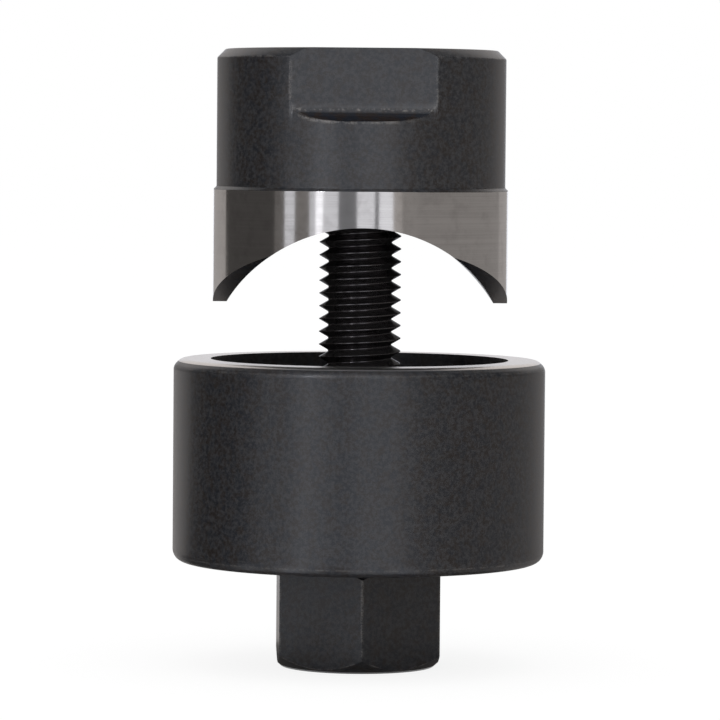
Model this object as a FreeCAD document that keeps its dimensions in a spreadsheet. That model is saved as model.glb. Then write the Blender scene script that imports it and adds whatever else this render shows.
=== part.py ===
import FreeCAD, Part
import os
import Sketcher

# Knockout punch for cutting round holes in sheet metal, in millimetres.
# A cup die, a two-point punch and the hexagon-head draw screw that pulls the punch into the die.
# Z runs up the draw screw from the middle of its head's end face.
# The cutting points lie along X, and the wrench flats face along Y.

# Driving sizes: name, value and what it measures
SIZES = [
    ("head_height", 12.35, "length of the hexagon head"),
    ("head_across_flats", 18.8, "hexagon head, flat to flat"),
    ("head_end_diameter", 18.0, "flat circle left on the end face by its corner chamfers"),
    ("head_chamfer_angle", 42.0, "corner chamfers of both ends, from the end face"),
    ("head_turn", 2.0, "front corner of the hexagon, turned from -Y towards +X"),
    ("thread_diameter", 9.6, "draw screw over its thread crests"),
    ("thread_depth", 1.07, "crest to root, also the chamfer on the screw's end"),
    ("screw_length", 55.0, "draw screw below its head"),
    ("die_diameter", 43.7, "outside of the die"),
    ("die_height", 23.8, "foot of the die to its cutting rim"),
    ("die_floor", 6.0, "thickness of the die's floor"),
    ("die_rim_chamfer", 0.85, "outer edge of the cutting rim"),
    ("die_foot_chamfer", 0.8, "outer edge of the die's foot"),
    ("die_corner_radius", 1.0, "inside corner between the die's wall and floor"),
    ("die_hole_play", 0.4, "gap all round the screw in the die's floor"),
    ("cutting_clearance", 0.2, "gap all round the punch in the die"),
    ("open_gap", 6.7, "cutting rim to cutting points, where the sheet goes"),
    ("punch_diameter", 34.6, "ground cutting band, the size of the hole it makes"),
    ("punch_length", 29.6, "cutting points to the top of the punch"),
    ("band_height", 13.2, "cutting points to the top of the ground band"),
    ("body_diameter", 33.9, "black upper body of the punch"),
    ("body_chamfer", 1.0, "top edge of the punch"),
    ("thread_clearance", 0.08, "gap all round the screw in the punch's bore"),
    ("trough_radius", 18.1, "round trough across the cutting end"),
    ("trough_depth", 9.05, "cutting points to the crown of the trough"),
    ("relief_angle", 22.5, "slope of the cutting edges, up and away from the points"),
    ("flats_across", 29.4, "wrench flats, face to face"),
    ("flats_height", 7.35, "top of the punch to the foot of a wrench flat"),
    ("flats_shoulder_angle", 26.0, "slope of the shoulder below a wrench flat"),
]

# Values worked out from the driving sizes, as expressions
DIE_HOLE_RADIUS = "Sizes.thread_diameter / 2 + Sizes.die_hole_play"
DIE_BORE_RADIUS = "Sizes.punch_diameter / 2 + Sizes.cutting_clearance"
PUNCH_BORE_RADIUS = "Sizes.thread_diameter / 2 + Sizes.thread_clearance"
PUNCH_FOOT = "Sizes.head_height + Sizes.die_height + Sizes.open_gap"
BAND_STEP = "(Sizes.punch_diameter - Sizes.body_diameter) / 2"
HEAD_CORNER_RADIUS = "Sizes.head_across_flats / 2 / cos(30 deg)"
FULL_TURN = 360
HEXAGON_SIDES = 6

document = FreeCAD.newDocument("knockout_punch")


def make_sheet():
    """Fills the sheet of driving sizes, one named cell to a row."""
    sheet = document.addObject("Spreadsheet::Sheet", "Sizes")
    for row, (name, value, meaning) in enumerate(SIZES, start=1):
        sheet.set("A%d" % row, meaning)
        sheet.set("B%d" % row, str(value))
        sheet.setAlias("B%d" % row, name)
    document.recompute()
    return sheet


def make_body(label, foot="0"):
    """Adds an empty body that stands with its foot at a given height."""
    body = document.addObject("PartDesign::Body", label)
    body.Label = label
    body.setExpression("Placement.Base.z", foot)
    document.recompute()
    return body


def plane_of(body, role):
    """Finds one of the body's own origin planes."""
    return next(item for item in body.Origin.OriginFeatures if item.Role == role)


def make_sketch(body, name, role):
    """Adds a sketch on an origin plane of its body."""
    sketch = body.newObject("Sketcher::SketchObject", name)
    sketch.AttachmentSupport = [(plane_of(body, role), "")]
    sketch.MapMode = "FlatFace"
    return sketch


def bind(sketch, name, formula, *constraint):
    """Adds a named dimension to a sketch and ties it to an expression."""
    value = float(sketch.evalExpression(formula))
    index = sketch.addConstraint(Sketcher.Constraint(*constraint, value))
    sketch.renameConstraint(index, name)
    sketch.setExpression("Constraints." + name, formula)


def draw_outline(sketch, corners):
    """Draws a closed outline of straight edges, each corner placed from the sketch's origin.

    A corner is a name and its expressions across and up. An edge between two corners that share
    an expression is vertical or horizontal, and needs no dimension of its own.
    """
    places = []
    for name, across, up in corners:
        places.append(FreeCAD.Vector(sketch.evalExpression(across), sketch.evalExpression(up), 0))
    for start, end in zip(places, places[1:] + places[:1]):
        sketch.addGeometry(Part.LineSegment(start, end))
    count = len(corners)
    for edge in range(count):
        sketch.addConstraint(Sketcher.Constraint("Coincident", edge, 2, (edge + 1) % count, 1))
    last_across = None
    last_up = None
    for edge, (name, across, up) in enumerate(corners):
        if across == last_across:
            sketch.addConstraint(Sketcher.Constraint("Vertical", edge - 1))
        elif across == "0":
            sketch.addConstraint(Sketcher.Constraint("PointOnObject", edge, 1, -2))
        else:
            bind(sketch, name + "_across", across, "DistanceX", -1, 1, edge, 1)
        if up == last_up:
            sketch.addConstraint(Sketcher.Constraint("Horizontal", edge - 1))
        elif up == "0":
            sketch.addConstraint(Sketcher.Constraint("PointOnObject", edge, 1, -1))
        else:
            bind(sketch, name + "_up", up, "DistanceY", -1, 1, edge, 1)
        last_across = across
        last_up = up


def turn(body, sketch, name, kind="PartDesign::Revolution"):
    """Turns a section once round the upright axis, to add or, as a groove, to take away."""
    feature = body.newObject(kind, name)
    feature.Profile = sketch
    feature.ReferenceAxis = (sketch, ["V_Axis"])
    feature.Angle = FULL_TURN
    document.recompute()
    return feature


def cut_through(body, sketch, name):
    """Cuts a sketch right through the body, both ways from the sketch."""
    feature = body.newObject("PartDesign::Pocket", name)
    feature.Profile = sketch
    feature.Type = "ThroughAll"
    feature.SideType = "Symmetric"
    document.recompute()
    return feature


def mirror_cut(body, feature, name, role):
    """Repeats a cut on the other side of an origin plane."""
    mirror = body.newObject("PartDesign::Mirrored", name)
    mirror.Originals = [feature]
    mirror.MirrorPlane = (plane_of(body, role), [""])
    body.Tip = mirror
    document.recompute()
    return mirror


def check_cut(before, after):
    """Makes sure that a cut has taken metal away."""
    if after.Shape.Volume >= before.Shape.Volume:
        raise RuntimeError(after.Name + " cuts nothing away")


def edge_at(shape, radius, height):
    """Finds the round edge of a given radius and height, by its name in the shape."""
    near = 1e-4
    for number, edge in enumerate(shape.Edges, start=1):
        curve = edge.Curve
        if not isinstance(curve, Part.Circle):
            continue
        if abs(curve.Radius - radius) < near and abs(curve.Center.z - height) < near:
            return "Edge%d" % number
    raise RuntimeError("no round edge of radius %.3f at height %.3f" % (radius, height))


def head_chamfer(circle):
    """Outer radius and drop of a corner chamfer, which reaches past the corners by its own width."""
    outer = "2 * (%s) - %s" % (HEAD_CORNER_RADIUS, circle)
    drop = "(%s - %s) * tan(Sizes.head_chamfer_angle * 1 deg)" % (outer, circle)
    return outer, drop


def make_draw_screw():
    """Hexagon-head screw, its shank left at the thread's crest diameter."""
    body = make_body("draw_screw")
    body.setExpression("Placement.Rotation.Angle", "Sizes.head_turn * 1 deg")

    hexagon = make_sketch(body, "head_hexagon", "XY_Plane")
    radius = float(body.evalExpression(HEAD_CORNER_RADIUS))
    corners = []
    for side in range(HEXAGON_SIDES):
        turned = FreeCAD.Rotation(FreeCAD.Vector(0, 0, 1), FULL_TURN / HEXAGON_SIDES * side)
        corners.append(turned.multVec(FreeCAD.Vector(0, -radius, 0)))
    for start, end in zip(corners, corners[1:] + corners[:1]):
        hexagon.addGeometry(Part.LineSegment(start, end))
    circle = hexagon.addGeometry(Part.Circle(FreeCAD.Vector(0, 0, 0), FreeCAD.Vector(0, 0, 1), radius), True)
    hexagon.addConstraint(Sketcher.Constraint("Coincident", circle, 3, -1, 1))
    for side in range(HEXAGON_SIDES):
        following = (side + 1) % HEXAGON_SIDES
        hexagon.addConstraint(Sketcher.Constraint("Coincident", side, 2, following, 1))
        hexagon.addConstraint(Sketcher.Constraint("PointOnObject", side, 1, circle))
        if following:
            hexagon.addConstraint(Sketcher.Constraint("Equal", side, following))
    hexagon.addConstraint(Sketcher.Constraint("PointOnObject", 0, 1, -2))
    bind(hexagon, "corner_radius", HEAD_CORNER_RADIUS, "Radius", circle)

    head = body.newObject("PartDesign::Pad", "head")
    head.Profile = hexagon
    head.setExpression("Length", "Sizes.head_height")
    document.recompute()

    # Both corner chamfers are turned, and the bearing face under the die is left as wide as the flats
    end_circle = "Sizes.head_end_diameter / 2"
    outer, drop = head_chamfer(end_circle)
    lower = make_sketch(body, "lower_chamfer_section", "XZ_Plane")
    draw_outline(lower, [
        ("end_circle", end_circle, "0"),
        ("end_outer", outer, "0"),
        ("side_outer", outer, drop),
    ])
    lower_chamfer = turn(body, lower, "lower_head_chamfer", "PartDesign::Groove")
    check_cut(head, lower_chamfer)
    bearing_circle = "Sizes.head_across_flats / 2"
    outer, drop = head_chamfer(bearing_circle)
    upper = make_sketch(body, "upper_chamfer_section", "XZ_Plane")
    draw_outline(upper, [
        ("bearing_circle", bearing_circle, "Sizes.head_height"),
        ("bearing_outer", outer, "Sizes.head_height"),
        ("side_outer", outer, "Sizes.head_height - " + drop),
    ])
    upper_chamfer = turn(body, upper, "upper_head_chamfer", "PartDesign::Groove")
    check_cut(lower_chamfer, upper_chamfer)

    shank_radius = "Sizes.thread_diameter / 2"
    screw_end = "Sizes.head_height + Sizes.screw_length"
    shank = make_sketch(body, "shank_section", "XZ_Plane")
    draw_outline(shank, [
        ("root", "0", "Sizes.head_height"),
        ("under_head", shank_radius, "Sizes.head_height"),
        ("chamfer_foot", shank_radius, screw_end + " - Sizes.thread_depth"),
        ("chamfer_top", shank_radius + " - Sizes.thread_depth", screw_end),
        ("tip", "0", screw_end),
    ])
    turn(body, shank, "threaded_shank")
    return body


def make_die():
    """Cup die: the sheet rests on its rim, and the slug drops inside."""
    body = make_body("die", "Sizes.head_height")
    outer = "Sizes.die_diameter / 2"
    section = make_sketch(body, "die_section", "XZ_Plane")
    draw_outline(section, [
        ("hole_foot", DIE_HOLE_RADIUS, "0"),
        ("foot_flat", outer + " - Sizes.die_foot_chamfer", "0"),
        ("foot_side", outer, "Sizes.die_foot_chamfer"),
        ("rim_side", outer, "Sizes.die_height - Sizes.die_rim_chamfer"),
        ("rim_flat", outer + " - Sizes.die_rim_chamfer", "Sizes.die_height"),
        ("cutting_edge", DIE_BORE_RADIUS, "Sizes.die_height"),
        ("bore_floor", DIE_BORE_RADIUS, "Sizes.die_floor"),
        ("hole_top", DIE_HOLE_RADIUS, "Sizes.die_floor"),
    ])
    cup = turn(body, section, "turned_cup")

    # The corner inside the cup is left round by the boring tool
    bore_radius = float(body.evalExpression(DIE_BORE_RADIUS))
    floor = float(body.evalExpression("Sizes.die_floor"))
    corner = body.newObject("PartDesign::Fillet", "floor_corner")
    corner.Base = (cup, [edge_at(cup.Shape, bore_radius, floor)])
    corner.setExpression("Radius", "Sizes.die_corner_radius")
    document.recompute()
    return body


def make_punch():
    """Two-point punch: its cutting edges rise from the points as a trough and a relief meet its side."""
    body = make_body("punch", PUNCH_FOOT)
    band_radius = "Sizes.punch_diameter / 2"
    body_radius = "Sizes.body_diameter / 2"
    section = make_sketch(body, "punch_section", "XZ_Plane")
    draw_outline(section, [
        ("bore_foot", PUNCH_BORE_RADIUS, "0"),
        ("point", band_radius, "0"),
        ("band_top", band_radius, "Sizes.band_height"),
        ("body_foot", body_radius, "Sizes.band_height + " + BAND_STEP),
        ("chamfer_foot", body_radius, "Sizes.punch_length - Sizes.body_chamfer"),
        ("top_edge", body_radius + " - Sizes.body_chamfer", "Sizes.punch_length"),
        ("countersink", PUNCH_BORE_RADIUS + " + Sizes.thread_depth", "Sizes.punch_length"),
        ("bore_top", PUNCH_BORE_RADIUS, "Sizes.punch_length - Sizes.thread_depth"),
    ])
    blank = turn(body, section, "turned_blank")

    # A round trough runs along Y between the two points
    trough_section = make_sketch(body, "trough_section", "XZ_Plane")
    radius = float(body.evalExpression("Sizes.trough_radius"))
    below = "Sizes.trough_radius - Sizes.trough_depth"
    centre = FreeCAD.Vector(0, -float(body.evalExpression(below)), 0)
    circle = trough_section.addGeometry(Part.Circle(centre, FreeCAD.Vector(0, 0, 1), radius))
    trough_section.addConstraint(Sketcher.Constraint("PointOnObject", circle, 3, -2))
    bind(trough_section, "centre_below_points", below, "DistanceY", circle, 3, -1, 1)
    bind(trough_section, "radius", "Sizes.trough_radius", "Radius", circle)
    trough = cut_through(body, trough_section, "trough")
    check_cut(blank, trough)

    # The relief slopes up and away from the line through the points, to the back and the front
    relief_section = make_sketch(body, "relief_section", "YZ_Plane")
    draw_outline(relief_section, [
        ("ridge", "0", "0"),
        ("outer_foot", "Sizes.punch_diameter", "0"),
        ("outer_top", "Sizes.punch_diameter", "Sizes.punch_diameter * tan(Sizes.relief_angle * 1 deg)"),
    ])
    back_relief = cut_through(body, relief_section, "back_relief")
    check_cut(trough, back_relief)
    relief = mirror_cut(body, back_relief, "front_relief", "XZ_Plane")
    check_cut(back_relief, relief)

    # Each wrench flat ends below in a sloping shoulder
    face = "Sizes.flats_across / 2"
    outside = "Sizes.punch_diameter"
    flat_foot = "Sizes.punch_length - Sizes.flats_height"
    fall = "(%s - %s) * tan(Sizes.flats_shoulder_angle * 1 deg)" % (outside, face)
    flat_section = make_sketch(body, "wrench_flat_section", "YZ_Plane")
    draw_outline(flat_section, [
        ("flat_foot", face, flat_foot),
        ("shoulder_outer", outside, "%s - %s" % (flat_foot, fall)),
        ("top_outer", outside, "Sizes.punch_length"),
        ("flat_top", face, "Sizes.punch_length"),
    ])
    back_flat = cut_through(body, flat_section, "back_wrench_flat")
    check_cut(relief, back_flat)
    flats = mirror_cut(body, back_flat, "front_wrench_flat", "XZ_Plane")
    check_cut(back_flat, flats)
    return body


def check_document(bodies):
    """Stops before anything is written if a feature has failed or a solid isn't sound."""
    document.recompute()
    for item in document.Objects:
        if "Invalid" in item.State or "Error" in item.State:
            raise RuntimeError("%s is %s" % (item.Name, item.State))
    for body in bodies:
        shape = body.Shape
        if shape.isNull() or not shape.isValid() or len(shape.Solids) != 1:
            raise RuntimeError(body.Label + " isn't one sound solid")


def main():
    make_sheet()
    bodies = [make_draw_screw(), make_die(), make_punch()]
    check_document(bodies)
    os.makedirs("parts", exist_ok=True)
    for body in bodies:
        body.Shape.exportStep("parts/%s.step" % body.Label)
        box = body.Shape.BoundBox
        print("%s: %.0f cubic mm, z %.2f to %.2f, %.2f wide" % (
            body.Label, body.Shape.Volume, box.ZMin, box.ZMax, box.XLength))


main()
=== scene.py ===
import math

import bmesh
import bpy
from mathutils import Matrix, Vector


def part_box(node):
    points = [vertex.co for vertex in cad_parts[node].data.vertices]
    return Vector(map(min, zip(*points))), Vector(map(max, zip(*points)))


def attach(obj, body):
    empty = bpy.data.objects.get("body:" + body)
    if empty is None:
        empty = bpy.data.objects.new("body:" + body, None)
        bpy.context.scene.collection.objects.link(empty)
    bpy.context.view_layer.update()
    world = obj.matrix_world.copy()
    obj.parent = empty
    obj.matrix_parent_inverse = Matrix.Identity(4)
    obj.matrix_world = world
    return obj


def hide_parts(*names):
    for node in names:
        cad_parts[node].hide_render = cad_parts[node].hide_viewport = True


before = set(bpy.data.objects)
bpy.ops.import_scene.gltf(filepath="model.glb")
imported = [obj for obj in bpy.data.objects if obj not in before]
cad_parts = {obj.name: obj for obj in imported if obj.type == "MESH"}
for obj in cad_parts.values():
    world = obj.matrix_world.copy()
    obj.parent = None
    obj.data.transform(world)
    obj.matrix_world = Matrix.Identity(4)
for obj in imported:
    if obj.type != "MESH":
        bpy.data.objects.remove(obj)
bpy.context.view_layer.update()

bl_info = {
    "name": "Knockout punch",
    "version": (1, 0, 0),
    "blender": (4, 5, 0),
    "location": "3D View > Sidebar > Knockout punch",
    "description": "Cup die, two-point punch and draw screw in black oxide and ground steel",
    "category": "Add Mesh",
}

MM = 0.001

DIE_LOW, DIE_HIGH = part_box("die")
PUNCH_LOW, PUNCH_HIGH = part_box("punch")
SCREW_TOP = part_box("draw_screw")[1].z

# The flank of a metric thread leans half of 60 degrees from the radial line
THREAD_FLANK = math.radians(30)
ROOT_DIVISIONS = 6

# The thread starts inside the hexagon head, so that the two join
THREAD_START_INSIDE = 1.5 * MM

# Half the angle that one side of the hexagon spans
HALF_SIDE = math.pi / 6
CHAMFER_STEPS = 192

# Divisions of the quarter circle between a wrench flat and its shoulder
COVE_DIVISIONS = 16

# A ring of points this far below the shoulders keeps the punch evenly shaded
RING_BELOW_SHOULDER = 0.1 * MM

# Roundings wider than this get more segments
WIDE_ROUNDING = 0.3 * MM
WIDE_SEGMENTS = 8
NARROW_SEGMENTS = 3

# How far a cutter reaches past the surface that it cuts
CUTTER_MARGIN = 5 * MM

# Points closer than this, in metres, are one point or lie on a cutting plane
SAME_POINT = 1e-6
ON_PLANE = 1e-7

# Edges that turn more than this stay sharp
SHARP_ANGLE = math.radians(35)
THREAD_SHARP_ANGLE = math.radians(40)

# Which faces are ground: the rim's normals point up, and the cutting band's hardly up or down
RIM_FACING = 0.72
BAND_FACING = 0.2
BAND_MARGIN = 0.1 * MM

# The thread's oil begins this far above the head
THREAD_FINISH_START = 0.01 * MM

# Depth of the fine relief of a finish
OXIDE_RELIEF = 0.01 * MM
OIL_RELIEF = 0.015 * MM
GROUND_RELIEF = 0.004 * MM

# How often the lines of a finish change in each millimetre along X, Y and Z
TURNING_LINES = (0.04, 0.04, 7.0)
FINE_GRINDING = (0.05, 0.05, 16.0)
COARSE_GRINDING = (0.03, 0.03, 3.0)
FLAT_GRINDING = (6.0, 0.4, 1.0)

BLACK = (0.0, 0.0, 0.0, 1.0)
WHITE = (1.0, 1.0, 1.0, 1.0)


def length(name, description, default):
    """A size that a user may change, in metres and shown in the scene's units."""
    return bpy.props.FloatProperty(
        name=name, description=description, default=default,
        min=0.0, precision=5, unit="LENGTH", subtype="DISTANCE")


def slope(name, description, degrees):
    """An angle that a user may change."""
    return bpy.props.FloatProperty(
        name=name, description=description, default=math.radians(degrees),
        unit="ROTATION", subtype="ANGLE")


def colour(name, description, default):
    """A finish colour that a user may change."""
    return bpy.props.FloatVectorProperty(
        name=name, description=description, default=default,
        min=0.0, max=1.0, size=3, subtype="COLOR")


def count(name, description, default):
    """How many divisions a turned or curved surface has."""
    return bpy.props.IntProperty(name=name, description=description, default=default, min=8)


class DieSizes(bpy.types.PropertyGroup):
    """Sizes of the cup die"""
    bore_radius: length("Bore radius", "Inside of the cup", 17.5 * MM)
    hole_radius: length("Hole radius", "Hole for the screw in the floor", 5.2 * MM)
    floor: length("Floor", "Thickness of the floor", 6.0 * MM)
    corner_radius: length("Corner radius", "Inside corner between wall and floor", 1.0 * MM)
    rim_chamfer: length("Rim chamfer", "Outer edge of the rim", 0.85 * MM)
    foot_chamfer: length("Foot chamfer", "Outer edge of the foot", 0.8 * MM)
    rim_rounding: length("Rim rounding", "Rounding of both edges of the rim chamfer", 0.42 * MM)
    foot_rounding: length("Foot rounding", "Rounding of both edges of the foot chamfer", 0.54 * MM)
    edge_radius: length("Edge radius", "Rounding of the hole's edges", 0.12 * MM)
    steps: count("Steps", "Divisions round the die", 192)


class PunchSizes(bpy.types.PropertyGroup):
    """Sizes of the punch"""
    tapping_radius: length("Tapping radius", "Bore before it is tapped", 4.2 * MM)
    thread_play: length("Thread play", "Gap between the tapped hole and the draw screw", 0.08 * MM)
    countersink: length("Countersink", "Radius of the countersink at the top of the bore", 5.95 * MM)
    body_radius: length("Body radius", "Black upper body", 16.95 * MM)
    band_height: length("Band height", "Cutting points to the top of the ground band", 13.2 * MM)
    top_chamfer: length("Top chamfer", "Top edge of the punch", 1.0 * MM)
    trough_radius: length("Trough radius", "Round trough across the cutting end", 18.1 * MM)
    trough_depth: length("Trough depth", "Cutting points to the crown of the trough", 9.05 * MM)
    relief_angle: slope("Relief angle", "Slope of the cutting edges away from the points", 22.5)
    flats_across: length("Flats across", "Wrench flats, face to face", 29.4 * MM)
    flats_height: length("Flats height", "Top of the punch to the shoulder below a flat", 8.45 * MM)
    cove_radius: length("Cove radius", "Round corner between a flat and its shoulder", 2.5 * MM)
    edge_radius: length("Edge radius", "Rounding of the turned edges", 0.12 * MM)
    steps: count("Steps", "Divisions round the punch", 512)


class ScrewSizes(bpy.types.PropertyGroup):
    """Sizes of the draw screw"""
    head_height: length("Head height", "Length of the hexagon head", 12.35 * MM)
    across_flats: length("Across flats", "Hexagon head, flat to flat", 18.8 * MM)
    head_turn: slope("Head turn", "Front corner of the hexagon, turned from -Y towards +X", 2.0)
    end_radius: length("End circle radius", "Flat circle left inside the end chamfers", 9.0 * MM)
    chamfer_angle: slope("Chamfer angle", "Corner chamfers of the head, from its end faces", 42.0)
    crest_radius: length("Crest radius", "Thread crest", 4.8 * MM)
    root_radius: length("Root radius", "Thread root", 3.73 * MM)
    pitch: length("Pitch", "Crest to crest along the thread", 1.5 * MM)
    crest_flat: length("Crest flat", "Width of a thread crest", 0.09 * MM)
    crest_height: length("Crest height", "Height of one crest on the +X side", 8.66 * MM)
    steps: count("Steps", "Divisions in one turn of the thread", 72)


class FinishColours(bpy.types.PropertyGroup):
    """Colours of the finishes"""
    oxide_blue: colour("Oxide, blue", "Bluish patches of the black oxide", (0.003, 0.005, 0.010))
    oxide_brown: colour("Oxide, brown", "Brownish patches of the black oxide", (0.010, 0.005, 0.003))
    oxide_pale: colour("Oxide, pale", "Fine mottling of the black oxide", (0.026, 0.026, 0.029))
    oil_brown: colour("Oil, brown", "Brownish patches of the oiled thread", (0.080, 0.072, 0.071))
    oil_pale: colour("Oil, pale", "Paler patches of the oiled thread", (0.150, 0.144, 0.150))
    steel: colour("Ground steel", "Bright ground steel", (0.62, 0.60, 0.58))
    steel_dull: colour("Dull steel", "Darker grinding lines and stains", (0.36, 0.34, 0.33))
    # Bare steel of worn edges, also the colour of painted edge highlights
    wear_and_highlight_steel: colour("Worn steel", "Steel where an edge has lost its oxide", (0.42, 0.40, 0.38))


def new_piece(name, bm):
    """Turns a bmesh into a linked object that sits at the origin."""
    mesh = bpy.data.meshes.new(name)
    bm.to_mesh(mesh)
    bm.free()
    piece = bpy.data.objects.new(name, mesh)
    bpy.context.scene.collection.objects.link(piece)
    return piece


def everything(bm):
    """All vertices, edges and faces of a bmesh."""
    return list(bm.verts) + list(bm.edges) + list(bm.faces)


def only(items, kind):
    """The vertices, edges or faces among the items that an operator made."""
    return [item for item in items if isinstance(item, kind)]


def draw_line(bm, points):
    """Draws an open line in the XZ plane, from pairs of a distance across and a height."""
    verts = [bm.verts.new((across, 0, up)) for across, up in points]
    return [bm.edges.new(pair) for pair in zip(verts, verts[1:])] + verts


def spin(bm, line, steps, angle=math.tau, rise=0.0, merge=True):
    """Sweeps a line round the Z axis and lifts it by the rise at each step."""
    bmesh.ops.spin(
        bm, geom=line, cent=(0, 0, 0), axis=(0, 0, 1), dvec=(0, 0, rise),
        angle=angle, steps=steps, use_merge=merge, use_duplicate=False)


def outwards(bm):
    """Turns all faces outwards."""
    bmesh.ops.recalc_face_normals(bm, faces=list(bm.faces))


def extrude(bm, path):
    """Makes a closed prism from the faces of a bmesh."""
    grown = bmesh.ops.extrude_face_region(bm, geom=list(bm.faces))
    bmesh.ops.translate(bm, verts=only(grown["geom"], bmesh.types.BMVert), vec=path)
    outwards(bm)


def slice_off(bm, point, normal, keep_outside):
    """Takes away what lies on one side of a plane and closes the cut."""
    found = bmesh.ops.bisect_plane(
        bm, geom=everything(bm), dist=ON_PLANE, plane_co=point, plane_no=normal,
        clear_inner=keep_outside, clear_outer=not keep_outside)
    rim = only(found["geom_cut"], bmesh.types.BMEdge)
    bmesh.ops.triangle_fill(bm, edges=rim, use_beauty=True)


def turned_ring(corners, roundings, steps):
    """Spins a closed section once round the Z axis, after its corners are rounded."""
    bm = bmesh.new()
    verts = [bm.verts.new((across, 0, up)) for across, up in corners]
    bm.faces.new(verts)
    by_radius = {}
    for vert, rounding in zip(verts, roundings):
        if rounding:
            by_radius.setdefault(rounding, []).append(vert)
    for rounding, chosen in by_radius.items():
        segments = WIDE_SEGMENTS if rounding > WIDE_ROUNDING else NARROW_SEGMENTS
        bmesh.ops.bevel(
            bm, geom=chosen, offset=rounding, offset_type="OFFSET", segments=segments,
            profile=0.5, affect="VERTICES", material=-1)
    bmesh.ops.delete(bm, geom=list(bm.faces), context="FACES_ONLY")
    spin(bm, list(bm.edges) + list(bm.verts), steps)
    outwards(bm)
    return bm


def cut(piece, cutter, operation="DIFFERENCE"):
    """Applies one boolean to a piece and removes the cutter."""
    modifier = piece.modifiers.new("cut", "BOOLEAN")
    modifier.operation = operation
    modifier.object = cutter
    modifier.solver = "EXACT"
    graph = bpy.context.evaluated_depsgraph_get()
    mesh = bpy.data.meshes.new_from_object(piece.evaluated_get(graph))
    piece.modifiers.clear()
    old = piece.data
    piece.data = mesh
    bpy.data.meshes.remove(old)
    cutter_mesh = cutter.data
    bpy.data.objects.remove(cutter)
    bpy.data.meshes.remove(cutter_mesh)
    return piece


def thread_section(crest_radius, root_radius, crest_flat, pitch):
    """One pitch of a thread: a narrow crest, straight flanks and a round root."""
    half_crest = crest_flat / 2
    sharp_root = crest_radius - (pitch / 2 - half_crest) / math.tan(THREAD_FLANK)
    rounding = root_radius - sharp_root
    centre = root_radius + rounding
    sweep = math.pi / 2 - THREAD_FLANK
    points = [(crest_radius, -half_crest), (crest_radius, half_crest)]
    for part in range(ROOT_DIVISIONS + 1):
        angle = sweep * (2 * part / ROOT_DIVISIONS - 1)
        points.append((centre - rounding * math.cos(angle), pitch / 2 + rounding * math.sin(angle)))
    points.append((crest_radius, pitch - half_crest))
    return points


def thread(name, sizes, play, low, high, end_radius=None):
    """A right-hand thread between two heights: one spun turn, repeated upwards.

    The play makes it thicker all over, for cutting a tapped hole. The end radius is that of the
    flat left by the chamfer on its upper end.
    """
    pitch = sizes.pitch
    section = thread_section(
        sizes.crest_radius + play, sizes.root_radius + play, sizes.crest_flat, pitch)
    start = sizes.crest_height + pitch * math.floor((low - sizes.crest_height) / pitch - 1)
    bm = bmesh.new()
    line = draw_line(bm, [(across, start + up) for across, up in section])
    spin(bm, line, sizes.steps, rise=pitch / sizes.steps, merge=False)
    one_turn = everything(bm)
    for turn in range(1, math.ceil((high - start) / pitch) + 2):
        copied = bmesh.ops.duplicate(bm, geom=one_turn)["geom"]
        bmesh.ops.translate(bm, verts=only(copied, bmesh.types.BMVert), vec=(0, 0, turn * pitch))
    bmesh.ops.remove_doubles(bm, verts=list(bm.verts), dist=SAME_POINT)
    if end_radius:
        for vert in bm.verts:
            radius = math.hypot(vert.co.x, vert.co.y)
            allowed = end_radius + max(0.0, high - vert.co.z)
            if radius > allowed:
                vert.co.x *= allowed / radius
                vert.co.y *= allowed / radius
    slice_off(bm, (0, 0, low), (0, 0, -1), keep_outside=False)
    slice_off(bm, (0, 0, high), (0, 0, 1), keep_outside=False)
    outwards(bm)
    return new_piece(name, bm)


def shade(piece, sharp_angle=SHARP_ANGLE):
    """Smooth shading with sharp edges kept, weighted to the larger faces."""
    piece.data.shade_smooth()
    piece.data.set_sharp_from_angle(angle=sharp_angle)
    weighted = piece.modifiers.new("face_weights", "WEIGHTED_NORMAL")
    weighted.keep_sharp = True


class Socket:
    """A shader socket that can stand in a sum, so that a pattern reads as an expression."""

    def __init__(self, surface, socket):
        self.surface = surface
        self.socket = socket

    def _math(self, operation, *values):
        return self.surface.node("ShaderNodeMath", {"operation": operation}, dict(enumerate(values)))

    def __add__(self, other):
        return self._math("ADD", self, other)

    def __radd__(self, other):
        return self._math("ADD", other, self)

    def __sub__(self, other):
        return self._math("SUBTRACT", self, other)

    def __rsub__(self, other):
        return self._math("SUBTRACT", other, self)

    def __mul__(self, other):
        return self._math("MULTIPLY", self, other)

    def __rmul__(self, other):
        return self._math("MULTIPLY", other, self)

    def __abs__(self):
        return self._math("ABSOLUTE", self)

    def larger(self, other):
        return self._math("MAXIMUM", self, other)


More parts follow.
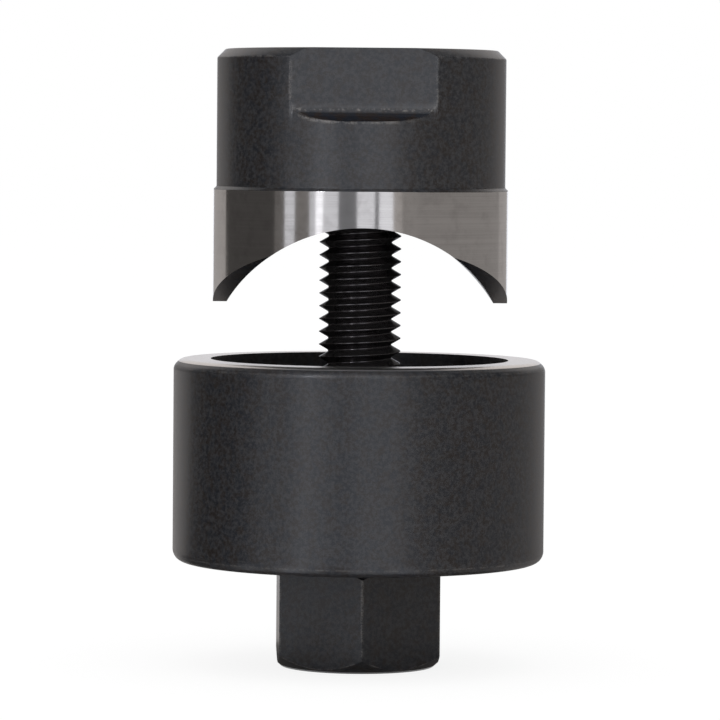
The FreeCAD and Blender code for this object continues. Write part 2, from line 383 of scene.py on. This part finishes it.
class Surface:
    """The nodes of a material or of the world, and the patterns that they make."""

    def __init__(self, owner):
        owner.use_nodes = True
        self.owner = owner
        self.tree = owner.node_tree
        self.tree.nodes.clear()

    def node(self, kind, settings=None, inputs=None, output=0):
        """Adds a node, makes its settings, then fills its sockets with values or links."""
        made = self.tree.nodes.new(kind)
        for name, value in (settings or {}).items():
            setattr(made, name, value)
        for name, value in (inputs or {}).items():
            if isinstance(value, Socket):
                self.tree.links.new(value.socket, made.inputs[name])
            else:
                made.inputs[name].default_value = value
        return Socket(self, made.outputs[output]) if made.outputs else None

    def outputs(self, kind, inputs=None):
        """Adds a node and gives all its outputs by name."""
        made = self.node(kind, inputs=inputs).socket.node
        return {output.name: Socket(self, output) for output in made.outputs}

    def place(self):
        """Object coordinates in millimetres."""
        spot = self.node("ShaderNodeTexCoord", output="Object")
        return self.node("ShaderNodeVectorMath", {"operation": "SCALE"}, {0: spot, "Scale": 1 / MM})

    def stretch(self, vector, scale):
        """A vector with each axis scaled by its own number."""
        return self.node("ShaderNodeVectorMath", {"operation": "MULTIPLY"}, {0: vector, 1: scale})

    def parts(self, vector):
        """The X, Y and Z of a vector."""
        return list(self.outputs("ShaderNodeSeparateXYZ", {0: vector}).values())

    def noise(self, vector, scale=1.0, detail=2.0, roughness=0.5):
        """Soft noise about 0.5."""
        return self.node(
            "ShaderNodeTexNoise", {"noise_dimensions": "3D"},
            {"Vector": vector, "Scale": scale, "Detail": detail, "Roughness": roughness})

    def ramp(self, value, low, high, start=0.0, end=1.0):
        """A smooth step from start to end as the value goes from low to high."""
        return self.node(
            "ShaderNodeMapRange", {"interpolation_type": "SMOOTHSTEP", "clamp": True},
            {"Value": value, "From Min": low, "From Max": high, "To Min": start, "To Max": end})

    def mix(self, factor, first, second):
        """A colour between two colours, by the colour sockets of a Mix node."""
        first, second = [
            tint if isinstance(tint, Socket) else (*tint, 1.0) for tint in (first, second)]
        return self.node("ShaderNodeMix", {"data_type": "RGBA"}, {0: factor, 6: first, 7: second}, 2)

    def near(self, value, target, width=0.2):
        """One where a value equals its target, falling to nothing within a width."""
        return self.ramp(abs(value - target), 0.0, width, start=1.0, end=0.0)

    def along(self, vector, direction):
        """How far a vector goes in a direction."""
        inputs = {0: vector, 1: direction}
        return self.node("ShaderNodeVectorMath", {"operation": "DOT_PRODUCT"}, inputs, "Value")

    def measure(self, vector):
        """Length of a vector."""
        return self.node("ShaderNodeVectorMath", {"operation": "LENGTH"}, {0: vector}, "Value")

    def reach(self, vector):
        """Distance from the upright axis."""
        return self.measure(self.stretch(vector, (1.0, 1.0, 0.0)))

    def span(self, across, up):
        """Length of the line that goes so far across and so far up."""
        return self.measure(self.node("ShaderNodeCombineXYZ", inputs={0: across, 1: up}))

    def ring(self, place, radius, height):
        """One on a turned edge of a given radius and height, in metres."""
        at_height = self.near(self.parts(place)[2], height / MM)
        return self.near(self.reach(place), radius / MM) * at_height

    def bump(self, height, strength, distance):
        """A normal that follows a fine relief."""
        inputs = {"Strength": strength, "Distance": distance, "Height": height}
        return self.node("ShaderNodeBump", inputs=inputs)

    def background_seen(self):
        """One for a ray from the camera, a reflection or glass, to which the background shows."""
        rays = self.outputs("ShaderNodeLightPath")
        return rays["Is Camera Ray"].larger(rays["Is Glossy Ray"]).larger(rays["Is Transmission Ray"])

    def finish(self, shader, output="ShaderNodeOutputMaterial"):
        """Joins the last shader to the output and gives the material or world."""
        self.node(output, inputs={"Surface": shader})
        return self.owner

    def principled(self, inputs):
        """Finishes a material with the usual shader."""
        return self.finish(self.node("ShaderNodeBsdfPrincipled", inputs=inputs))


def new_surface(name):
    """The empty surface of a new material."""
    return Surface(bpy.data.materials.new(name))


def black_oxide(name, colours, wear_and_highlights, smooth=None, gloss=1.62, grain=0.2, rough=0.34):
    """Black oxide on machined steel: finely mottled blue-black and brown-black.

    The first mask says where an edge is bare of oxide, partly from real wear and partly as painted
    edge highlights. The second says where the steel below the oxide is smoother; there it is also
    evenly coloured and darker, which is painted shade.
    """
    surface = new_surface(name)
    place = surface.place()
    hue = surface.noise(place, 0.8, detail=5.0, roughness=0.6)
    mottle = surface.noise(place, 2.2, detail=4.0, roughness=0.65)
    speckle = surface.noise(place, 7.0, roughness=0.6)
    depth = surface.ramp(mottle * 0.65 + speckle * 0.35, 0.41, 0.62)
    tint = surface.mix(surface.ramp(hue, 0.42, 0.58), colours.oxide_blue, colours.oxide_brown)
    oxide = surface.mix(depth, tint, colours.oxide_pale)
    patches = surface.ramp(hue * 0.6 + speckle * 0.4, 0.42, 0.62)
    # Edges bare of oxide: partly real wear, partly painted edge highlights
    rubbed_and_highlit = wear_and_highlights(surface, place) * patches
    roughness = rough + depth * 0.06
    # Where the steel is smoother it is less rough, and its colour is darkened to the even tint:
    # painted shade
    if smooth:
        polish_and_painted_shade = smooth(surface, place)
        roughness = roughness * (1 - polish_and_painted_shade * 0.75)
        oxide = surface.mix(polish_and_painted_shade * 0.95, oxide, tint)
    turning = surface.noise(surface.stretch(place, TURNING_LINES))
    return surface.principled({
        "Base Color": surface.mix(rubbed_and_highlit, oxide, colours.wear_and_highlight_steel),
        "Metallic": rubbed_and_highlit,
        "Roughness": roughness,
        "IOR": gloss,
        "Coat Weight": 0.12,
        "Coat Roughness": 0.16,
        "Normal": surface.bump(turning * 0.35 + speckle * 0.65, grain, OXIDE_RELIEF),
    })


def oiled_thread(name, colours):
    """Black oxide under a film of oil, as on the rolled thread."""
    surface = new_surface(name)
    place = surface.place()
    film = surface.noise(place, 1.2, detail=3.0, roughness=0.6)
    grit = surface.noise(place, 6.0, roughness=0.6)
    return surface.principled({
        "Base Color": surface.mix(film, colours.oil_brown, colours.oil_pale),
        "Metallic": 0.85,
        "Specular Tint": BLACK,
        "Roughness": 0.12 + surface.ramp(film, 0.4, 0.65) * 0.12,
        "Normal": surface.bump(grit, 0.3, OIL_RELIEF),
    })


def ground_band(name, colours):
    """Cylindrically ground steel, with its grinding lines round the punch."""
    surface = new_surface(name)
    place = surface.place()
    fine = surface.noise(surface.stretch(place, FINE_GRINDING), detail=3.0, roughness=0.7)
    coarse = surface.noise(surface.stretch(place, COARSE_GRINDING))
    stain = surface.noise(place, 0.5, detail=4.0, roughness=0.6)
    lines = surface.ramp(fine * 0.65 + coarse * 0.35, 0.35, 0.65)
    stained = surface.ramp(stain, 0.45, 0.75, end=0.35)
    dull = surface.mix(stained, colours.steel, colours.steel_dull)
    return surface.principled({
        "Base Color": surface.mix(lines * 0.25, dull, colours.steel_dull),
        "Metallic": 1.0,
        "Roughness": 0.10 + lines * 0.05,
        "Anisotropic": 0.6,
        "Anisotropic Rotation": 0.25,
        "Normal": surface.bump(fine, 0.1, GROUND_RELIEF),
    })


def ground_face(name, colours):
    """Flat ground steel, its grinding lines all one way."""
    surface = new_surface(name)
    place = surface.place()
    lines = surface.noise(surface.stretch(place, FLAT_GRINDING), detail=3.0, roughness=0.6)
    return surface.principled({
        "Base Color": (*colours.steel, 1.0),
        "Metallic": 1.0,
        "Roughness": 0.24 + lines * 0.14,
    })


def dress(piece, body, node, materials, choose):
    """Gives a finished piece its materials, face by face, and its place in the frame."""
    for material in materials:
        piece.data.materials.append(material)
    for polygon in piece.data.polygons:
        polygon.material_index = int(choose(polygon))
    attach(piece, body)
    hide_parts(node)


class BUILD_OT_die(bpy.types.Operator):
    """Turn the cup die and give it its ground rim"""
    bl_idname = "knockout.build_die"
    bl_label = "Die"

    def execute(self, context):
        sizes = context.scene.die_sizes
        colours = context.scene.finish_colours
        outer = DIE_HIGH.x
        foot = DIE_LOW.z
        rim = DIE_HIGH.z
        edge = sizes.edge_radius
        foot_round = sizes.foot_rounding
        rim_round = sizes.rim_rounding
        corners = [
            (sizes.hole_radius, foot),
            (outer - sizes.foot_chamfer, foot),
            (outer, foot + sizes.foot_chamfer),
            (outer, rim - sizes.rim_chamfer),
            (outer - sizes.rim_chamfer, rim),
            (sizes.bore_radius, rim),
            (sizes.bore_radius, foot + sizes.floor),
            (sizes.hole_radius, foot + sizes.floor),
        ]
        roundings = [edge, foot_round, foot_round, rim_round, rim_round, 0, sizes.corner_radius, edge]
        piece = new_piece("die_body", turned_ring(corners, roundings, sizes.steps))
        shade(piece)

        # Bare steel at the foot and rim edges: partly real wear, partly painted edge highlights
        def wear_and_highlights(surface, place):
            foot_edge = surface.ring(place, outer, foot + sizes.foot_chamfer)
            foot_face = surface.ring(place, outer - sizes.foot_chamfer, foot)
            rim_edge = surface.ring(place, outer, rim - sizes.rim_chamfer)
            return (foot_edge * 0.4).larger(foot_face * 0.3).larger(rim_edge * 0.15)

        def on_rim(polygon):
            return polygon.center.z > rim - rim_round and polygon.normal.z > RIM_FACING

        materials = [
            black_oxide("die_oxide", colours, wear_and_highlights, grain=0.11, rough=0.38),
            ground_face("die_rim", colours),
        ]
        dress(piece, "die", "die", materials, on_rim)
        return {"FINISHED"}


class BUILD_OT_punch(bpy.types.Operator):
    """Turn the punch, then cut its trough, relief and wrench flats"""
    bl_idname = "knockout.build_punch"
    bl_label = "Punch"

    def execute(self, context):
        sizes = context.scene.punch_sizes
        colours = context.scene.finish_colours
        foot = PUNCH_LOW.z
        top = PUNCH_HIGH.z
        band = PUNCH_HIGH.x
        body = sizes.body_radius
        edge = sizes.edge_radius
        step = foot + sizes.band_height
        drop = sizes.top_chamfer
        corners = [
            (sizes.tapping_radius, foot),
            (band, foot),
            (band, step),
            (body, step + band - body),
            (body, top - sizes.flats_height - RING_BELOW_SHOULDER),
            (body, top - drop),
            (body - drop, top),
            (sizes.countersink, top),
            (sizes.tapping_radius, top - (sizes.countersink - sizes.tapping_radius)),
        ]
        roundings = [0, 0, 0.5 * edge, 0.5 * edge, 0, edge, edge, edge, edge]
        bm = turned_ring(corners, roundings, sizes.steps)
        rise = math.tan(sizes.relief_angle)
        for side in (-1, 1):
            slice_off(bm, (0, 0, foot), (0, -side * rise, 1), keep_outside=True)
        outwards(bm)
        piece = new_piece("punch_body", bm)
        cut(piece, self.trough(sizes, foot, band))
        for side in (-1, 1):
            cut(piece, self.flat(sizes, top, band, side))
        screw = context.scene.screw_sizes
        cut(piece, thread("tap", screw, sizes.thread_play, foot - CUTTER_MARGIN, top + CUTTER_MARGIN))
        shade(piece)

        cove = sizes.cove_radius / MM

        # Bare steel round each recess and at the top edge, partly real wear and partly painted edge
        # highlights
        def wear_and_highlights(surface, place):
            below, reach = self.recess(surface, place, sizes, top)
            on_recess = surface.near(reach, cove, width=0.15)
            on_body = surface.near(surface.reach(place), body / MM)
            fading_down = surface.ramp(below, 0.0, cove, start=0.25, end=0.1)
            recess_edge = on_body * on_recess * fading_down
            low_on_cove = surface.ramp(below, 0.6 * cove, 0.8 * cove)
            # The edge below each cove, fading towards +X: partly real wear, partly painted highlight
            shoulder = surface.near(reach, cove + 0.12, width=0.32) * low_on_cove
            fading_right = surface.ramp(surface.parts(place)[0], 0.0, 7.0, start=0.4, end=0.05)
            shoulder_edge = on_body * shoulder * fading_right
            # Broken spots part way down each cove: painted highlight
            spots = surface.ramp(surface.noise(place, 2.4, detail=1.0), 0.5, 0.6)
            cove_highlight_spots = surface.near(below, 0.46 * cove, width=0.28) * on_recess * spots
            top_edge = surface.ring(place, body, top - drop)
            return recess_edge.larger(shoulder_edge).larger(cove_highlight_spots * 0.5).larger(top_edge * 0.2)

        # The lower part of each cove: smoother steel, and painted shade in its colour
        def smooth(surface, place):
            below, reach = self.recess(surface, place, sizes, top)
            low_on_cove = surface.ramp(below, 0.5 * cove, 0.65 * cove)
            return surface.near(reach, cove, width=0.12) * low_on_cove

        def on_band(polygon):
            radius = math.hypot(polygon.center.x, polygon.center.y)
            upright = abs(polygon.normal.z) < BAND_FACING
            return upright and radius > band - BAND_MARGIN and polygon.center.z < step + BAND_MARGIN

        materials = [
            black_oxide("punch_oxide", colours, wear_and_highlights, smooth, gloss=1.7, rough=0.36),
            ground_band("punch_band", colours),
        ]
        dress(piece, "punch", "punch", materials, on_band)
        return {"FINISHED"}

    def recess(self, surface, place, sizes, top):
        """How far a point is below the end of a flat, and how far from the axis of the cove."""
        along, up = surface.parts(place)[1:]
        depth = abs(along) - sizes.flats_across / 2 / MM
        below = (top - sizes.flats_height + sizes.cove_radius) / MM - up
        reach = surface.span((sizes.cove_radius / MM - depth).larger(0.0), below.larger(0.0))
        return below, reach

    def trough(self, sizes, foot, band):
        """A long cylinder along Y that cuts the trough."""
        bm = bmesh.new()
        bmesh.ops.create_cone(
            bm, cap_ends=True, segments=sizes.steps, radius1=sizes.trough_radius,
            radius2=sizes.trough_radius, depth=3 * band)
        along_y = Matrix.Rotation(math.pi / 2, 3, "X")
        bmesh.ops.rotate(bm, verts=list(bm.verts), cent=(0, 0, 0), matrix=along_y)
        centre = foot + sizes.trough_depth - sizes.trough_radius
        bmesh.ops.translate(bm, verts=list(bm.verts), vec=(0, 0, centre))
        return new_piece("trough_cutter", bm)

    def flat(self, sizes, top, band, side):
        """A block along X that cuts one wrench flat, its cove and its shoulder."""
        face = sizes.flats_across / 2
        outside = 2 * band
        foot = top - sizes.flats_height
        cove = sizes.cove_radius
        section = [(face, top + CUTTER_MARGIN)]
        for part in range(COVE_DIVISIONS + 1):
            angle = math.pi / 2 * part / COVE_DIVISIONS
            across = face + cove * (1 - math.cos(angle))
            section.append((across, foot + cove * (1 - math.sin(angle))))
        section += [(outside, foot), (outside, top + CUTTER_MARGIN)]
        bm = bmesh.new()
        bm.faces.new([bm.verts.new((-2 * band, side * across, up)) for across, up in section])
        extrude(bm, (4 * band, 0, 0))
        return new_piece("flat_cutter", bm)


class BUILD_OT_draw_screw(bpy.types.Operator):
    """Forge the hexagon head and roll the thread"""
    bl_idname = "knockout.build_draw_screw"
    bl_label = "Draw screw"

    def execute(self, context):
        sizes = context.scene.screw_sizes
        colours = context.scene.finish_colours
        piece = self.head(sizes)
        start = sizes.head_height - THREAD_START_INSIDE
        cut(piece, thread("thread", sizes, 0.0, start, SCREW_TOP, sizes.root_radius), "UNION")
        shade(piece, THREAD_SHARP_ANGLE)

        # Bare steel on the hexagon's corners and chamfer arcs: partly real wear, partly painted edge
        # highlights
        def wear_and_highlights(surface, place):
            up = surface.parts(place)[2]
            half = sizes.across_flats / 2 / MM
            top = sizes.head_height / MM
            reach = surface.reach(place)
            turns = [sizes.head_turn + 2 * HALF_SIDE * side for side in range(3)]
            sides = [
                abs(surface.along(place, (math.cos(turn), math.sin(turn), 0.0))) for turn in turns]
            on_side = surface.near(sides[0].larger(sides[1]).larger(sides[2]), half, width=0.12)
            rise = (reach - sizes.end_radius / MM) * math.tan(sizes.chamfer_angle)
            arc = surface.near(up - rise, 0.0, width=0.12) * on_side
            corner = surface.near(reach, half / math.cos(HALF_SIDE), width=0.16)
            on_head = surface.ramp(up, top, top + 0.1, start=1.0, end=0.0)
            return (corner * 0.3).larger(arc * 0.25) * on_head

        def on_thread(polygon):
            return polygon.center.z > sizes.head_height + THREAD_FINISH_START

        materials = [black_oxide("screw_oxide", colours, wear_and_highlights), oiled_thread("screw_thread", colours)]
        dress(piece, "screw", "draw_screw", materials, on_thread)
        return {"FINISHED"}

    def head(self, sizes):
        """A hexagonal bar, its corners turned off at both ends."""
        height = sizes.head_height
        half = sizes.across_flats / 2
        corner = half / math.cos(HALF_SIDE)
        bm = bmesh.new()
        bmesh.ops.create_circle(bm, cap_ends=True, segments=6, radius=corner)
        turn = self.corner_to_front(bm, sizes)
        bmesh.ops.rotate(bm, verts=list(bm.verts), cent=(0, 0, 0), matrix=turn)
        extrude(bm, (0, 0, height))
        bar = new_piece("draw_screw_body", bm)

        steepness = math.tan(sizes.chamfer_angle)
        end_drop = (corner - sizes.end_radius) * steepness
        bearing_drop = (corner - half) * steepness
        envelope = bmesh.new()
        line = draw_line(envelope, [
            (0, 0),
            (sizes.end_radius, 0),
            (2 * corner - sizes.end_radius, 2 * end_drop),
            (2 * corner - half, height - 2 * bearing_drop),
            (half, height),
            (0, height),
        ])
        spin(envelope, line, CHAMFER_STEPS)
        bmesh.ops.remove_doubles(envelope, verts=list(envelope.verts), dist=SAME_POINT)
        outwards(envelope)
        return cut(bar, new_piece("chamfer_envelope", envelope), "INTERSECT")

    def corner_to_front(self, bm, sizes):
        """The turn that brings the first corner of the hexagon to the front."""
        bm.verts.ensure_lookup_table()
        first = bm.verts[0].co
        turn = sizes.head_turn - math.pi / 2 - math.atan2(first.y, first.x)
        return Matrix.Rotation(turn, 3, "Z")


# The camera stands where the photograph was taken from
CAMERA_DISTANCE = 528.75 * MM
CAMERA_HEIGHT = 62.25 * MM
CAMERA_SWING = math.radians(0.9)
CAMERA_TARGET = Vector((0.06 * MM, 0, 36.05 * MM))
CAMERA_ROLL = math.radians(0.47)
CAMERA_ANGLE = math.radians(9.15)
CAMERA_NEAR = 10 * MM

# Plain light on the object
TOP_LAMP_PLACE = Vector((0.0, -0.35, 1.1))
TOP_LAMP_SIZE = 1.0
TOP_LAMP_POWER = 2.5
SOFT_LIGHT = 0.85

# The floor is paper, mixed with a glow where the camera or a reflection sees it
FLOOR_RADIUS = 6.0
FLOOR_STEPS = 64
FLOOR_PAPER = (0.8, 0.8, 0.8, 1.0)
FLOOR_GLOW = 1.08
FLOOR_GLOW_SHARE = 0.8

# Profiles of the studio cards, as pairs of a distance from the axis and a height in metres
AXIS_GAP = 1 * MM
CARD_FOOT = 24 * MM
CARD_LIFT = 0.2 * MM
CARD_DISTANCE = 1.5
CARD_HEIGHT = 2.4
LOW_CARD_HEIGHT = 0.4
IN_FRONT = 10 * MM
FLOOR_TO_WALL = [(CARD_FOOT, CARD_LIFT), (CARD_DISTANCE, CARD_LIFT)]
WALL = [*FLOOR_TO_WALL, (CARD_DISTANCE, CARD_HEIGHT)]
LOW_WALL = [*FLOOR_TO_WALL, (CARD_DISTANCE, LOW_CARD_HEIGHT)]
HIGH_WALL = [(CARD_DISTANCE, LOW_CARD_HEIGHT), (CARD_DISTANCE, CARD_HEIGHT)]
FOOT = [(AXIS_GAP, CARD_LIFT), (CARD_FOOT, CARD_LIFT)]
CEILING = [(AXIS_GAP, CARD_HEIGHT), (CARD_DISTANCE, CARD_HEIGHT)]
LOWER_CEILING = [(0.7, CARD_HEIGHT - IN_FRONT), (CARD_DISTANCE, CARD_HEIGHT - IN_FRONT)]
HIGH_LAMP = [(1.4, 0.65), (1.4, 1.2)]
NEAR_FLOOR = [(CARD_FOOT, 2 * CARD_LIFT), (1.0, 2 * CARD_LIFT)]
WALL_SHADE = [(CARD_DISTANCE - IN_FRONT, 0.1), (CARD_DISTANCE - IN_FRONT, CARD_HEIGHT)]

# Cards round the studio: bearings in degrees to the right of the camera, brightness and tint
# Those behind the object are low, with one wide card above them
COOL = (0.97, 0.99, 1.06)
WARM = (1.04, 0.99, 0.97)
CARDS = [
    ("left_flag", -130, -70, WALL, 0.07, WARM),
    ("left_strip_edge", -70, -61, WALL, 0.17, WARM),
    ("left_strip", -61, -52, WALL, 0.85, COOL),
    ("left_gap", -52, -40, WALL, 0.22, WARM),
    ("left_softbox_edge", -40, -35, WALL, 0.75, COOL),
    ("left_softbox_core", -35, -29, WALL, 1.7, COOL),
    ("left_softbox", -29, -17, WALL, 0.9, COOL),
    ("camera_gap", -17, -3, WALL, 0.22, COOL),
    ("right_softbox", -3, 11, WALL, 1.0, COOL),
    ("right_seam", 11, 14, WALL, 0.2, COOL),
    ("right_softbox_edge", 14, 25, WALL, 1.1, COOL),
    ("right_fade", 25, 32, WALL, 0.45, WARM),
    ("right_wall", 32, 137, WALL, 0.31, WARM),
    ("right_back_wall", 137, 163, LOW_WALL, 0.4, WARM),
    ("back_opening", 163, 193, LOW_WALL, 1.0, COOL),
    ("left_back_wall", 193, 230, LOW_WALL, 0.39, WARM),
    ("back_flag", 136, 224, HIGH_WALL, 0.85, WARM),
    # A dark disc under the object, seen only in reflections: painted shadow of the object on the
    # floor
    ("painted_floor_shadow", 0, 360, FOOT, 0.08, WARM),
    ("ceiling", 0, 360, CEILING, 0.18, COOL),
    ("front_ceiling", -60, 60, LOWER_CEILING, 0.55, COOL),
    ("left_lamp", -35, -30, HIGH_LAMP, 16.0, COOL),
    ("right_lamp", 3, 22, HIGH_LAMP, 2.0, COOL),
    ("left_back_floor", 193, 234, NEAR_FLOOR, 0.68, WARM),
    ("right_wall_shade", 45, 125, WALL_SHADE, 0.13, WARM),
]
FULL_TURN = 360
CARD_STEP = 4


class BUILD_OT_stage(bpy.types.Operator):
    """Set up the floor, the cards, the lamp, the world and the camera"""
    bl_idname = "knockout.build_stage"
    bl_label = "Studio"

    def execute(self, context):
        scene = context.scene
        self.floor()
        for card in CARDS:
            self.card(*card)
        self.lamp(scene)
        self.world(scene)
        self.camera(scene)
        scene.view_settings.view_transform = "Standard"
        return {"FINISHED"}

    def floor(self):
        """A wide pale floor, white to the camera apart from the shadow."""
        bm = bmesh.new()
        bmesh.ops.create_circle(bm, cap_ends=True, segments=FLOOR_STEPS, radius=FLOOR_RADIUS)
        floor = new_piece("floor", bm)
        surface = new_surface("floor_paper")
        paper = surface.node("ShaderNodeBsdfPrincipled", inputs={
            "Base Color": FLOOR_PAPER, "Roughness": 0.9, "Specular IOR Level": 0.0})
        glow = surface.node("ShaderNodeEmission", inputs={"Color": WHITE, "Strength": FLOOR_GLOW})
        share = surface.background_seen() * FLOOR_GLOW_SHARE
        mixed = surface.node("ShaderNodeMixShader", inputs={0: share, 1: paper, 2: glow})
        floor.data.materials.append(surface.finish(mixed))

    def card(self, name, first, last, profile, brightness, tint):
        """A curved card, its profile spun from one bearing to another, seen only in reflections."""
        bm = bmesh.new()
        line = draw_line(bm, profile)
        start = math.radians(first - 90) - CAMERA_SWING
        turn = Matrix.Rotation(start, 3, "Z")
        bmesh.ops.rotate(bm, verts=list(bm.verts), cent=(0, 0, 0), matrix=turn)
        steps = max(2, int((last - first) / CARD_STEP))
        spin(bm, line, steps, math.radians(last - first), merge=last - first == FULL_TURN)
        card = new_piece(name, bm)
        for ray in ("camera", "diffuse", "transmission", "volume_scatter", "shadow"):
            setattr(card, "visible_" + ray, False)
        surface = new_surface(name + "_paper")
        glow = {"Color": (*tint, 1.0), "Strength": brightness}
        card.data.materials.append(surface.finish(surface.node("ShaderNodeEmission", inputs=glow)))

    def lamp(self, scene):
        """A square softbox above the object, not seen in its reflections."""
        data = bpy.data.lights.new("top_softbox", "AREA")
        data.shape = "SQUARE"
        data.size = TOP_LAMP_SIZE
        data.energy = TOP_LAMP_POWER
        lamp = bpy.data.objects.new("top_softbox", data)
        lamp.matrix_world = aim(TOP_LAMP_PLACE, CAMERA_TARGET)
        lamp.visible_glossy = False
        scene.collection.objects.link(lamp)

    def world(self, scene):
        """Soft grey light all round, white where the camera or a reflection sees past the floor."""
        scene.world = bpy.data.worlds.new("studio")
        sky = Surface(scene.world)
        soft = sky.node("ShaderNodeBackground", inputs={"Color": WHITE, "Strength": SOFT_LIGHT})
        white = sky.node("ShaderNodeBackground", inputs={"Color": WHITE, "Strength": 1.0})
        mixed = sky.node("ShaderNodeMixShader", inputs={0: sky.background_seen(), 1: soft, 2: white})
        sky.finish(mixed, "ShaderNodeOutputWorld")

    def camera(self, scene):
        """The photograph's camera, a little to the left and just below the top of the punch."""
        data = bpy.data.cameras.new("camera")
        data.angle = CAMERA_ANGLE
        data.clip_start = CAMERA_NEAR
        camera = bpy.data.objects.new("camera", data)
        place = Vector((
            -CAMERA_DISTANCE * math.sin(CAMERA_SWING),
            -CAMERA_DISTANCE * math.cos(CAMERA_SWING),
            CAMERA_HEIGHT,
        ))
        camera.matrix_world = aim(place, CAMERA_TARGET) @ Matrix.Rotation(CAMERA_ROLL, 4, "Z")
        scene.collection.objects.link(camera)
        scene.camera = camera


def aim(place, target):
    """The matrix of a lamp or camera that stands at a place and looks at a target."""
    turn = (target - place).to_track_quat("-Z", "Y")
    return Matrix.Translation(place) @ turn.to_matrix().to_4x4()


GROUPS = {
    "die_sizes": DieSizes,
    "punch_sizes": PunchSizes,
    "screw_sizes": ScrewSizes,
    "finish_colours": FinishColours,
}
OPERATORS = [BUILD_OT_stage, BUILD_OT_die, BUILD_OT_punch, BUILD_OT_draw_screw]


class VIEW3D_PT_knockout(bpy.types.Panel):
    """Sizes, finishes and build steps of the knockout punch"""
    bl_idname = "VIEW3D_PT_knockout"
    bl_label = "Knockout punch"
    bl_space_type = "VIEW_3D"
    bl_region_type = "UI"
    bl_category = "Knockout punch"

    def draw(self, context):
        layout = self.layout
        for group in GROUPS:
            settings = getattr(context.scene, group)
            box = layout.box()
            box.label(text=group.replace("_", " ").capitalize())
            for name in settings.__annotations__:
                box.prop(settings, name)
        for operator in OPERATORS:
            layout.operator(operator.bl_idname)


def register():
    for name, group in GROUPS.items():
        bpy.utils.register_class(group)
        setattr(bpy.types.Scene, name, bpy.props.PointerProperty(type=group))
    for operator in OPERATORS:
        bpy.utils.register_class(operator)
    bpy.utils.register_class(VIEW3D_PT_knockout)


def unregister():
    bpy.utils.unregister_class(VIEW3D_PT_knockout)
    for operator in reversed(OPERATORS):
        bpy.utils.unregister_class(operator)
    for name, group in GROUPS.items():
        delattr(bpy.types.Scene, name)
        bpy.utils.unregister_class(group)


def main():
    """Builds the studio and every piece."""
    register()
    bpy.ops.knockout.build_stage()
    bpy.ops.knockout.build_die()
    bpy.ops.knockout.build_punch()
    bpy.ops.knockout.build_draw_screw()
    bpy.context.view_layer.update()


if __name__ == "__main__":
    main()
